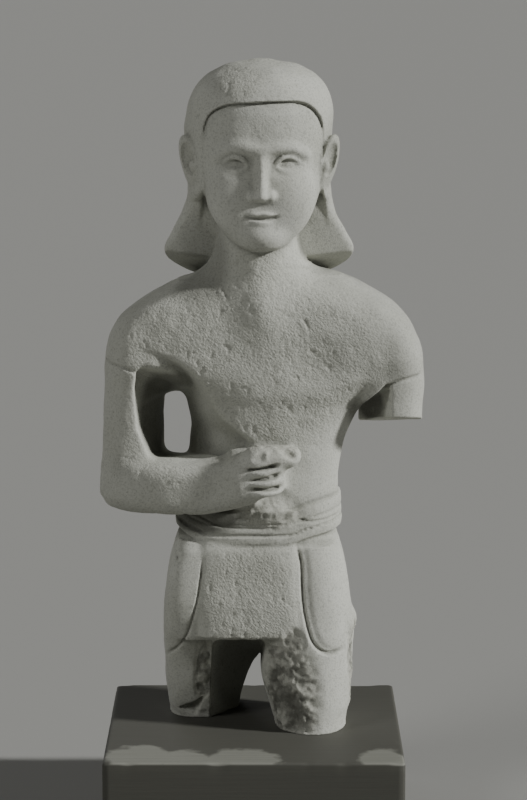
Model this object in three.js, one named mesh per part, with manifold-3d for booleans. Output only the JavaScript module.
// Small limestone statuette of a standing youth in a belted kilt, broken at the left arm and both thighs,
// set on a low square block. Millimetres, +Z up. The origin is the middle of the block's underside.
// The figure faces -Y and its own left side is on +X. Levels on the figure count from the top of the block.

import * as THREE from 'three';
import { LoftGeometry } from 'three/addons/geometries/LoftGeometry.js';
import { mergeVertices } from 'three/addons/utils/BufferGeometryUtils.js';
import Module from 'manifold-3d';

const wasm = await Module();
wasm.setup();

// Driving dimensions

const PLINTH = { width: 75.3, depth: 72, height: 25, bevel: 0.8 };
const FIGURE_HEIGHT = 171.7;

// Masses of the figure. A row is one cross-section: its level along the mass, its two limits on each of
// the other two axes, and how square it is (2 is an ellipse, higher is boxier).
// Upright masses: level z, left, right, front, back, squareness.

const TORSO = [
  [43, -19.0, 21.0, -6.0, 21.0, 2.6],
  [52, -18.6, 21.0, -6.0, 20.6, 2.5],
  [58, -18.2, 21.4, -6.0, 20.4, 2.4],
  [66, -18.0, 22.0, -6.2, 20.6, 2.3],
  [73, -18.4, 23.0, -6.8, 21.6, 2.3],
  [79, -18.8, 25.4, -7.4, 22.6, 2.3],
  [84, -19.6, 28.8, -7.9, 23.4, 2.3],
  [88, -21.6, 32.4, -8.2, 24.0, 2.3],
  [92, -26.6, 36.6, -8.4, 24.4, 2.4],
  [98, -32.4, 38.6, -8.4, 25.0, 2.6],
  [104, -32.4, 37.4, -7.6, 25.2, 2.7],
  [109, -28.6, 33.4, -5.8, 24.6, 2.6],
  [113, -22.6, 27.4, -4.2, 23.4, 2.4],
  [116.5, -16.2, 21.0, -3.2, 22.0, 2.2],
  [119.5, -11.5, 14.5, -2.6, 19.0, 2.0],
];

const RIGHT_UPPER_ARM = [
  [57.0, -36.0, -22.0, -4.0, 15.0, 2.4],
  [58.6, -38.4, -20.0, -6.0, 17.0, 2.5],
  [61.5, -39.8, -18.0, -7.0, 18.5, 2.6],
  [68, -39.4, -18.0, -6.6, 19.6, 2.6],
  [78, -39.0, -18.0, -6.0, 20.6, 2.5],
  [88, -38.6, -18.0, -6.2, 21.6, 2.4],
  [96, -38.2, -18.0, -6.6, 22.4, 2.3],
  [101, -37.2, -18.0, -5.6, 22.6, 2.2],
  [105, -35.2, -17.0, -4.2, 22.2, 2.2],
  [108.5, -31.4, -15.0, -2.0, 21.4, 2.1],
  [112, -25.6, -12.0, 1.0, 20.2, 2.0],
  [115, -19.6, -9.0, 4.0, 18.6, 2.0],
];

const LEFT_UPPER_ARM = [
  [74, 25.5, 43.0, -4.6, 20.0, 2.7],
  [84, 24.5, 43.6, -5.0, 21.0, 2.6],
  [91, 23.5, 43.9, -5.8, 21.8, 2.4],
  [97, 22.5, 43.3, -6.4, 22.4, 2.3],
  [101, 21.5, 42.0, -5.6, 22.6, 2.2],
  [105, 20.0, 39.8, -4.2, 22.2, 2.2],
  [109, 17.0, 36.2, -2.0, 21.4, 2.1],
  [113, 14.0, 30.0, 1.0, 20.2, 2.0],
  [116.5, 11.0, 22.6, 4.0, 18.6, 2.0],
];

const HIPS = [
  [16, -21.0, 23.6, -1.0, 21.0, 2.8],
  [19, -23.0, 25.6, -4.6, 23.6, 2.8],
  [25, -23.5, 25.7, -6.8, 24.4, 3.0],
  [33, -23.0, 24.6, -7.4, 24.2, 3.1],
  [40, -22.2, 23.6, -7.2, 23.4, 3.1],
  [45, -21.0, 22.6, -6.8, 22.6, 3.0],
  [50, -19.6, 21.4, -6.2, 21.4, 2.8],
];

const APRON = [
  [24.2, -12.0, 9.4, -8.8, -2.0, 4.0],
  [25.0, -14.2, 11.2, -9.5, -1.0, 5.0],
  [32, -14.0, 11.6, -9.5, 0.0, 5.0],
  [40, -13.6, 11.2, -8.9, 0.0, 5.0],
  [49, -13.0, 10.6, -7.8, 0.0, 5.0],
];

const RIGHT_LEG = [
  [0, -22.4, -3.9, 4.2, 27.0, 2.6],
  [3, -22.9, -3.6, 3.2, 26.8, 2.6],
  [8, -23.3, -2.0, 1.6, 26.2, 2.7],
  [14, -23.5, 1.0, -1.4, 25.6, 2.8],
  [20, -23.5, 3.0, -4.2, 25.0, 2.9],
  [27, -23.0, 4.0, -5.6, 24.0, 3.0],
];

const LEFT_LEG = [
  [0, 5.4, 23.9, -12.1, 14.0, 2.2],
  [3, 4.4, 24.3, -12.1, 14.8, 2.2],
  [6, 3.4, 25.2, -11.9, 15.8, 2.3],
  [10, 2.0, 25.9, -11.5, 17.0, 2.3],
  [15, 1.0, 26.2, -10.8, 18.6, 2.4],
  [21, 0.0, 26.1, -9.8, 20.4, 2.6],
  [30, 0.0, 25.2, -8.6, 21.0, 2.8],
  [40, 1.0, 23.8, -7.7, 21.0, 2.9],
  [48, 2.0, 21.6, -6.4, 20.0, 2.9],
];

const NECK = [
  [110, -14.0, 17.0, -4.4, 20.0, 2.0],
  [115, -11.6, 13.8, -4.4, 19.0, 2.1],
  [120, -9.9, 12.0, -4.2, 18.0, 2.2],
  [128, -9.2, 10.9, -4.6, 17.0, 2.2],
  [136, -9.0, 10.8, -5.6, 16.0, 2.2],
];

const FACE = [
  [124.6, -2.6, 6.4, -9.6, 0.0, 2.0],
  [126.0, -5.2, 9.0, -11.0, 4.0, 2.1],
  [129.5, -8.6, 12.4, -11.7, 8.0, 2.2],
  [134, -11.2, 15.0, -11.8, 11.0, 2.3],
  [139, -12.9, 16.7, -11.7, 14.0, 2.4],
  [145, -13.8, 17.6, -11.5, 16.0, 2.4],
  [152, -13.9, 17.6, -11.2, 16.0, 2.4],
  [158, -13.0, 16.6, -10.6, 16.0, 2.4],
  [164, -9.0, 12.6, -7.6, 14.0, 2.2],
];

const HAIR = [
  [108.6, -20.0, 22.4, -7.0, 25.2, 2.2],
  [113, -22.3, 24.7, -8.2, 26.2, 2.2],
  [117, -23.2, 25.6, -9.0, 27.0, 2.2],
  [123, -23.3, 25.7, -9.6, 27.6, 2.2],
  [128, -21.1, 23.5, -9.4, 27.6, 2.2],
  [133, -18.5, 20.9, -9.2, 27.4, 2.2],
  [138, -17.1, 19.8, -9.0, 27.0, 2.3],
  [145, -17.3, 19.4, -9.6, 26.8, 2.3],
  [153.5, -17.8, 19.8, -11.2, 26.4, 2.3],
  [158.6, -17.1, 19.7, -11.4, 25.6, 2.2],
  [163.6, -15.3, 18.5, -10.0, 23.8, 2.2],
  [167.4, -12.0, 15.6, -7.0, 20.6, 2.1],
  [170, -7.2, 11.2, -2.6, 16.0, 2.0],
  [171.3, -3.2, 7.4, 1.6, 11.6, 2.0],
  [FIGURE_HEIGHT, -0.4, 4.6, 4.2, 9.0, 2.0],
];

// The flank plane: at each level, where it leaves the chest and where it reaches the back of the window.

const FLANK_BACK = 17;
const FLANK = [
  [62, 5.0, -6.0, -16.8],
  [74, 0.2, -6.6, -16.8],
  [82, -8.2, -6.4, -18.0],
  [88, -11.8, -6.4, -21.0],
  [93, -15.5, -6.6, -28.0],
  [98, -20.0, -6.6, -38.0],
];

// The space cut out between the right arm and the flank, from the top of the forearm up to the armpit:
// rows of six points, front edge of the arm, three corners clear inside the flank, and two at the back.

const ARM_WINDOW = [
  [[-26, -12, 71.2], [-10, -12, 71.2], [-10, 40, 68.6], [-24.5, 40, 68.6], [-23.4, 17, 68.8], [-26.6, -4, 71.2]],
  [[-29.8, -12, 79], [-10, -12, 79], [-10, 40, 79], [-24.5, 40, 79], [-23.6, 17, 79], [-29.4, -4, 79]],
  [[-30.4, -12, 89], [-10, -12, 88], [-10, 40, 83], [-24.5, 40, 84], [-23.4, 17, 83.6], [-30.2, -4, 89]],
  [[-30, -12, 94.6], [-10, -12, 91.4], [-10, 40, 84.6], [-21.5, 40, 85.4], [-20.6, 17, 85], [-29.4, -4, 94.4]],
];

// The armpit of the left arm, narrowing to the back: y, inner side of the arm, top of the arch.

const LEFT_ARMPIT = [[-24, 34.8, 91], [-5, 34.8, 91], [17, 27.2, 82]];

// The deep space under the apron, narrowing to the slit between the legs: rows of six points at one depth.

const LEG_GAP = [
  [[-13.8, -20, -2], [-12.6, -20, 12], [-11.8, -20, 24.6], [3.4, -20, 24.6], [1.4, -20, 14], [5.2, -20, -2]],
  [[-13.6, 4.6, -2], [-12.4, 4.6, 12], [-11.2, 4.6, 23.4], [2.6, 4.6, 22.0], [1.4, 4.6, 14], [5.2, 4.6, -2]],
  [[-4.5, 15, -2], [-1.6, 15, 8], [0.2, 15, 13.6], [1.2, 15, 13.6], [2.9, 15, 7], [5.3, 15, -2]],
  [[-5.5, 34, -2], [-2.2, 34, 8], [-0.4, 34, 15], [1.8, 34, 15], [3.9, 34, 7], [6.6, 34, -2]],
];

// Lying masses: level x, front, back, bottom, top, squareness.

const FOREARM = [
  [-38.6, -3.0, 12.0, 61.5, 67.5, 2.4],
  [-36.0, -8.0, 17.0, 58.6, 70.4, 2.8],
  [-30.0, -11.0, 18.0, 57.2, 71.6, 3.0],
  [-22.0, -13.0, 18.0, 56.6, 71.4, 3.2],
  [-14.0, -14.0, 12.0, 56.8, 71.4, 3.2],
  [-8.0, -15.0, 4.0, 58.0, 72.6, 3.0],
  [-3.0, -16.4, 2.0, 59.4, 73.4, 2.8],
  [0.0, -16.6, 0.0, 60.6, 73.4, 2.6],
];

// Hand, closed round a lost rod: the palm, a lying mass, the four fingers one above the other, and the
// broken lumps of the thumb and first finger.

const PALM = [
  [-4.5, -16.8, 0, 61.4, 73.0, 3.0],
  [-1.5, -17.6, 0, 61.6, 73.4, 4.0],
  [5.2, -17.0, 0, 62.0, 73.6, 4.0],
  [7.2, -13.6, 0, 62.8, 72.8, 3.0],
];
const FINGERS = { count: 4, from: -4.5, to: 7.2, lowest: 63.2, pitch: 3.0, front: -18.4, radius: 1.62 };
const THUMB_STUMPS = [
  { x: 3.4, y: -14.2, z: 74.4, rx: 4.6, ry: 4.2, rz: 2.6 },
  { x: 8.4, y: -10.4, z: 74.8, rx: 3.4, ry: 4.4, rz: 2.4 },
];

// Belt: a broad wrapped band. Each row is a level and how far the band stands out from the waist there.

const BELT = { left: -19.9, right: 22.1, front: -7.2, back: 22.2, square: 2.7 };
const BELT_FOLDS = [
  [47.4, -0.5], [48.0, 0.5], [50.4, 0.6], [50.9, 0.1], [51.4, 0.5],
  [54.0, 0.5], [54.5, 0.0], [55.0, 0.4], [57.0, 0.3], [57.6, -0.9],
];

// Kilt edges, as points (x, z) that an incised line passes through on the front of the hips.

const RIGHT_PANEL_EDGE = [
  [-13.0, 46.6], [-14.2, 39.5], [-16.3, 29.6], [-18.6, 23.6], [-21.7, 19.2], [-24.4, 17.4],
];
const LEFT_PANEL_EDGE = [
  [10.9, 48.4], [12.1, 44.0], [12.5, 34.2], [13.8, 26.3], [16.4, 21.6], [20.3, 19.9], [25.0, 20.2],
];
const EDGE_LINE = { radius: 0.75, sink: -0.1 };

// Hair edge over the forehead: an arch from temple to temple, cut out of the hair down to the face.

const FACE_OPENING = { left: -12.7, right: 17.3, crown: 161.4, shoulder: 6.5, foot: 110, depth: 3.0 };

// Side locks: where their front lower corners lie, how far up their flat fronts go, and the slopes of the
// front to the side, and of the underside to the back and to the neck.

const LOCK = {
  left: -23.2, right: 25.6, y: 8, tip: 122.6, frontTop: 138, turn: 0.25, slant: 0.42, droop: 0.19,
};

// Face on even thirds from the hairline to the chin, and the ears.

const HEAD = { middle: 1.9, hairline: 161.4, chin: 125 };
const EARS = { left: -15.8, right: 18.4, level: 145.6 };

// Broken faces, each a plane with its normal pointing out of the stone: the end of the left arm, the inner
// front corner of the left leg up to a level, and the front of the right leg's foot.

const ARM_BREAK = { point: [38, -5, 81.3], normal: [0, -0.2, -1] };
const LEG_BREAK = { point: [6.6, -7.0, 0], normal: [-0.66, -0.75, -0.05], top: 22 };
const FOOT_BREAK = { point: [-17, 4.0, 2.6], normal: [0.1, -0.85, -0.5] };

// Small helpers

// A closed mesh as a solid that can be joined and cut.
function solid(geometry) {
  const bare = new THREE.BufferGeometry();
  bare.setAttribute('position', geometry.getAttribute('position'));
  bare.setIndex(geometry.getIndex());
  const merged = mergeVertices(bare, 1e-5);
  return new wasm.Manifold(new wasm.Mesh({
    numProp: 3,
    vertProperties: new Float32Array(merged.attributes.position.array),
    triVerts: new Uint32Array(merged.index.array),
  }));
}

// The point of a superellipse at an angle, on the axes (a, b).
function superPoint(angle, a0, a1, b0, b1, square) {
  const power = (value) => Math.sign(value) * Math.abs(value) ** (2 / square);
  return [
    (a0 + a1) / 2 + (a1 - a0) / 2 * power(Math.cos(angle)),
    (b0 + b1) / 2 + (b1 - b0) / 2 * power(Math.sin(angle)),
  ];
}

// A loft of superelliptic sections along one axis: 'z' reads rows as (x, y) limits, 'x' as (y, z) limits.
function loft(rows, sides, axis = 'z') {
  const sections = rows.map(([level, a0, a1, b0, b1, square]) => {
    const ring = [];
    for (let i = 0; i < sides; i += 1) {
      const [a, b] = superPoint(2 * Math.PI * (i + 0.5) / sides, a0, a1, b0, b1, square);
      ring.push(axis === 'z' ? new THREE.Vector3(a, b, level) : new THREE.Vector3(level, a, b));
    }
    return ring;
  });
  return solid(new LoftGeometry(sections, { capStart: true, capEnd: true }));
}

// A closed prism through polygons with equal numbers of points, each given as a list of (x, y, z).
// The polygons may run either way round: they are turned to face along the prism.
function prism(polygons) {
  const sections = polygons.map((points) => points.map((point) => new THREE.Vector3(...point)));
  const [first, second] = sections;
  const facing = new THREE.Vector3();
  first.forEach((point, i) => facing.add(point.clone().cross(first[(i + 1) % first.length])));
  const along = second[0].clone().sub(first[0]);
  if (facing.dot(along) < 0) sections.forEach((section) => section.reverse());
  return solid(new LoftGeometry(sections, { capStart: true, capEnd: true }));
}

function ellipsoid({ x, y, z, rx, ry, rz, turn = 0, tip = 0 }) {
  const geometry = new THREE.SphereGeometry(1, 12, 8);
  geometry.rotateX(Math.PI / 2);
  geometry.scale(rx, ry, rz);
  geometry.rotateY(tip);
  geometry.rotateZ(turn);
  geometry.translate(x, y, z);
  return solid(geometry);
}

// All of space, as far as the figure reaches, on the side of a plane that its normal points to.
function beyond(point, normal) {
  const reach = 400;
  const geometry = new THREE.BoxGeometry(reach, reach, reach);
  geometry.translate(0, 0, reach / 2);
  const up = new THREE.Vector3(0, 0, 1);
  const outward = new THREE.Vector3(...normal).normalize();
  geometry.applyQuaternion(new THREE.Quaternion().setFromUnitVectors(up, outward));
  geometry.translate(...point);
  return solid(geometry);
}

// A round rod along a smooth curve through points.
function rod(points, radius, sides, steps) {
  const path = new THREE.CatmullRomCurve3(points.map((point) => new THREE.Vector3(...point)));
  const section = new THREE.Shape();
  for (let i = 0; i < sides; i += 1) {
    const angle = 2 * Math.PI * i / sides;
    const corner = [radius * Math.cos(angle), radius * Math.sin(angle)];
    if (i === 0) section.moveTo(...corner);
    else section.lineTo(...corner);
  }
  const geometry = new THREE.ExtrudeGeometry(section, { steps, extrudePath: path });
  return solid(geometry);
}

// The foremost surface of some upright lofts at (x, z).
function frontOf(lofts, x, z) {
  const fronts = lofts.map((rows) => {
    const next = rows.findIndex((row) => row[0] >= z);
    if (next < 1) return Infinity;
    const t = (z - rows[next - 1][0]) / (rows[next][0] - rows[next - 1][0]);
    const at = rows[next].map((value, k) => THREE.MathUtils.lerp(rows[next - 1][k], value, t));
    const [, left, right, front, back, square] = at;
    const reach = Math.min(1, Math.abs(x - (left + right) / 2) / ((right - left) / 2));
    return (front + back) / 2 - (back - front) / 2 * (1 - reach ** square) ** (1 / square);
  });
  return Math.min(...fronts);
}

// The torso, with the flat flank plane cut back from the chest ridge to the arm window.
function torso() {
  const clear = 30;
  const cut = prism(FLANK.map(([z, ridgeX, ridgeY, backX]) => [
    [ridgeX, ridgeY, z],
    [backX, FLANK_BACK, z],
    [backX - clear, FLANK_BACK - clear / 2, z],
    [ridgeX - clear, ridgeY - clear, z],
  ]));
  return loft(TORSO, 32).subtract(cut);
}

// The bent right arm. Its inner side slants back towards the window between arm and flank.
function rightArm() {
  return loft(RIGHT_UPPER_ARM, 24).add(loft(FOREARM, 20, 'x')).subtract(prism(ARM_WINDOW));
}

// The stump of the left upper arm. The break is nearly level, and the inner side slants back to the armpit.
function leftArm() {
  const shoulder = 10;
  const innerSide = prism(LEFT_ARMPIT.map(([y, inner, arch]) => [
    [shoulder, y, 70], [inner, y, 70], [inner, y, arch], [inner - 4, y, arch - 4], [shoulder, y, arch - 8],
  ]));
  return loft(LEFT_UPPER_ARM, 24).subtract(innerSide).subtract(beyond(ARM_BREAK.point, ARM_BREAK.normal));
}

function hand() {
  const { count, from, to, lowest, pitch, front, radius } = FINGERS;
  let result = loft(PALM, 16, 'x');
  for (let i = 0; i < count; i += 1) {
    const z = lowest + pitch * i;
    const tip = to - 0.5 * i;
    result = result.add(rod([
      [from, front + 4.6, z],
      [from + 2.4, front + 2.2, z],
      [(from + to) / 2, front + radius, z + 0.2],
      [tip - 1.5, front + 3.2, z + 0.4],
      [tip, front + 6.6, z + 0.4],
      [tip - 0.6, front + 11.4, z + 0.2],
    ], radius, 7, 9));
  }
  for (const stump of THUMB_STUMPS) result = result.add(ellipsoid(stump));
  return result;
}

// The belt: the same section at each level, wider and narrower where the band folds.
function belt() {
  const { left, right, front, back, square } = BELT;
  return loft(BELT_FOLDS.map(([level, out]) => [
    level, left - out, right + out, front - out, back + out, square,
  ]), 32);
}

// Hips and kilt with the middle apron, and the two legs cut off below the hem.
function kiltAndLegs() {
  const hips = [HIPS, RIGHT_LEG, LEFT_LEG];
  let result = hips.map((rows) => loft(rows, 28)).reduce((whole, part) => whole.add(part));

  result = result.subtract(prism(LEG_GAP));

  // the broken inner corner of the advanced leg, and the broken foot of the other
  const corner = beyond(LEG_BREAK.point, LEG_BREAK.normal);
  result = result.subtract(corner.subtract(beyond([0, 0, LEG_BREAK.top], [0, 0, 1])));
  const foot = beyond(FOOT_BREAK.point, FOOT_BREAK.normal);
  result = result.subtract(foot.subtract(beyond([-8, 0, 0], [1, 0, 0])));

  result = result.add(loft(APRON, 28));
  for (const edge of [RIGHT_PANEL_EDGE, LEFT_PANEL_EDGE]) {
    const line = edge.map(([x, z]) => [x, frontOf(hips, x, z) + EDGE_LINE.sink, z]);
    result = result.subtract(rod(line, EDGE_LINE.radius, 6, 16));
  }
  return result;
}

// Hair like a smooth cap, open in front from the temples down, its two sides flaring to the shoulders.
function hair() {
  const { left, right, crown, shoulder, foot, depth } = FACE_OPENING;
  const arch = new THREE.Shape();
  arch.moveTo(left, foot);
  arch.lineTo(right, foot);
  arch.lineTo(right, crown - shoulder);
  arch.bezierCurveTo(right, crown - 1.5, right - shoulder * 0.6, crown, right - 2 * shoulder, crown);
  arch.lineTo(left + 2 * shoulder, crown - 1);
  arch.bezierCurveTo(left + shoulder * 0.5, crown - 1.5, left, crown - 3, left, crown - shoulder - 1);
  const opening = new THREE.ExtrudeGeometry(arch, { depth: 40, bevelEnabled: false, curveSegments: 5 });
  opening.rotateX(Math.PI / 2);
  opening.translate(0, depth, 0);
  let result = loft(HAIR, 32).subtract(solid(opening));

  // each side lock has a flat front, stepping back behind the ear, and a slanting underside
  const aboveEar = beyond([0, 0, LOCK.frontTop], [0, 0, 1]);
  for (const side of [-1, 1]) {
    const corner = [side < 0 ? LOCK.left : LOCK.right, LOCK.y, LOCK.tip];
    const front = beyond(corner, [side * LOCK.turn, -1, 0]);
    result = result.subtract(front.subtract(aboveEar));
    result = result.subtract(beyond(corner, [side * LOCK.droop, -LOCK.slant, -1]));
  }
  return result;
}

// The head: a plain oval face with brows, eyes, nose, mouth and chin on regular thirds, and two ears.
function head() {
  const { middle, hairline, chin } = HEAD;
  const third = (hairline - chin) / 3;
  const brow = hairline - third;
  const noseBase = brow - third;
  const mouth = noseBase - third / 3;
  const eyeLevel = brow - third / 4;
  let result = loft(FACE, 32);
  for (const side of [-1, 1]) {
    const x = middle + side * third / 2 * 1.1;
    const turn = side * 0.2;
    result = result.subtract(ellipsoid({ x, y: -13.2, z: eyeLevel, rx: 5.4, ry: 3.8, rz: 2.8, turn }));
    result = result.add(ellipsoid({ x, y: -8.2, z: eyeLevel, rx: 4.2, ry: 2.7, rz: 2.0, turn }));
  }
  const noseRow = (z, half, ridgeHalf, tip) => [
    [middle - half, -8, z],
    [middle - ridgeHalf, tip, z],
    [middle + ridgeHalf, tip, z],
    [middle + half, -8, z],
  ];
  result = result.add(prism([
    noseRow(brow + 0.5, 2.2, 1.2, -11.2),
    noseRow(brow - 0.35 * third, 2.0, 1.0, -12.6),
    noseRow(noseBase + 0.2 * third, 3.0, 1.4, -14.8),
    noseRow(noseBase + 0.08 * third, 3.1, 1.5, -14.9),
    noseRow(noseBase, 2.6, 1.2, -13.6),
  ]));
  result = result.add(ellipsoid({ x: middle, y: -9.8, z: mouth + 0.8, rx: 4.6, ry: 2.9, rz: 1.1 }));
  result = result.add(ellipsoid({ x: middle, y: -9.7, z: mouth - 1.1, rx: 4.0, ry: 2.9, rz: 1.2 }));
  result = result.add(ellipsoid({ x: middle, y: -9.0, z: chin + 3.0, rx: 4.6, ry: 3.4, rz: 2.8 }));
  for (const side of [-1, 1]) {
    const x = side < 0 ? EARS.left : EARS.right;
    const turn = -side * 0.5;
    const tip = side * 0.1;
    result = result.add(ellipsoid({ x, y: 0.6, z: EARS.level, rx: 2.3, ry: 4.0, rz: 7.4, turn, tip }));
    result = result.subtract(ellipsoid({
      x: x + side * 1.2, y: -1.6, z: EARS.level + 1.6, rx: 1.6, ry: 2.2, rz: 4.2, turn, tip,
    }));
  }
  return result;
}

function statue() {
  const figure = torso()
    .add(rightArm())
    .add(leftArm())
    .add(hand())
    .add(kiltAndLegs())
    .add(belt())
    .add(loft(NECK, 24))
    .add(hair())
    .add(head());
  // broken level with the top of the block
  return figure.subtract(beyond([0, 0, 0], [0, 0, -1]));
}

// The block: a square prism with its top and upright edges slightly rounded off.
function plinth() {
  const { width, depth, height, bevel } = PLINTH;
  const outline = (inset, z) => {
    const x = width / 2 - inset;
    const y = depth / 2 - inset;
    return [
      [x - bevel, -y, z], [x, -y + bevel, z], [x, y - bevel, z], [x - bevel, y, z],
      [-x + bevel, y, z], [-x, y - bevel, z], [-x, -y + bevel, z], [-x + bevel, -y, z],
    ];
  };
  return prism([outline(bevel, 0), outline(0, bevel), outline(0, height - bevel), outline(bevel, height)]);
}

// A solid as a mesh to show, with its own finish.
function mesh(name, shape, finish) {
  const { numProp, vertProperties, triVerts } = shape.getMesh();
  const geometry = new THREE.BufferGeometry();
  const positions = new Float32Array(vertProperties.length / numProp * 3);
  for (let i = 0; i < positions.length; i += 1) {
    positions[i] = vertProperties[numProp * Math.floor(i / 3) + i % 3];
  }
  geometry.setAttribute('position', new THREE.BufferAttribute(positions, 3));
  geometry.setIndex(new THREE.BufferAttribute(new Uint32Array(triVerts), 1));
  geometry.computeVertexNormals();
  const result = new THREE.Mesh(geometry, new THREE.MeshStandardMaterial(finish));
  result.name = name;
  return result;
}

const object = new THREE.Group();
const figure = mesh('statue', statue(), { color: 0xc4c0b2, roughness: 0.95, metalness: 0 });
figure.position.z = PLINTH.height;
object.add(figure);
object.add(mesh('plinth', plinth(), { color: 0x7a7b78, roughness: 0.7, metalness: 0 }));

export default object;
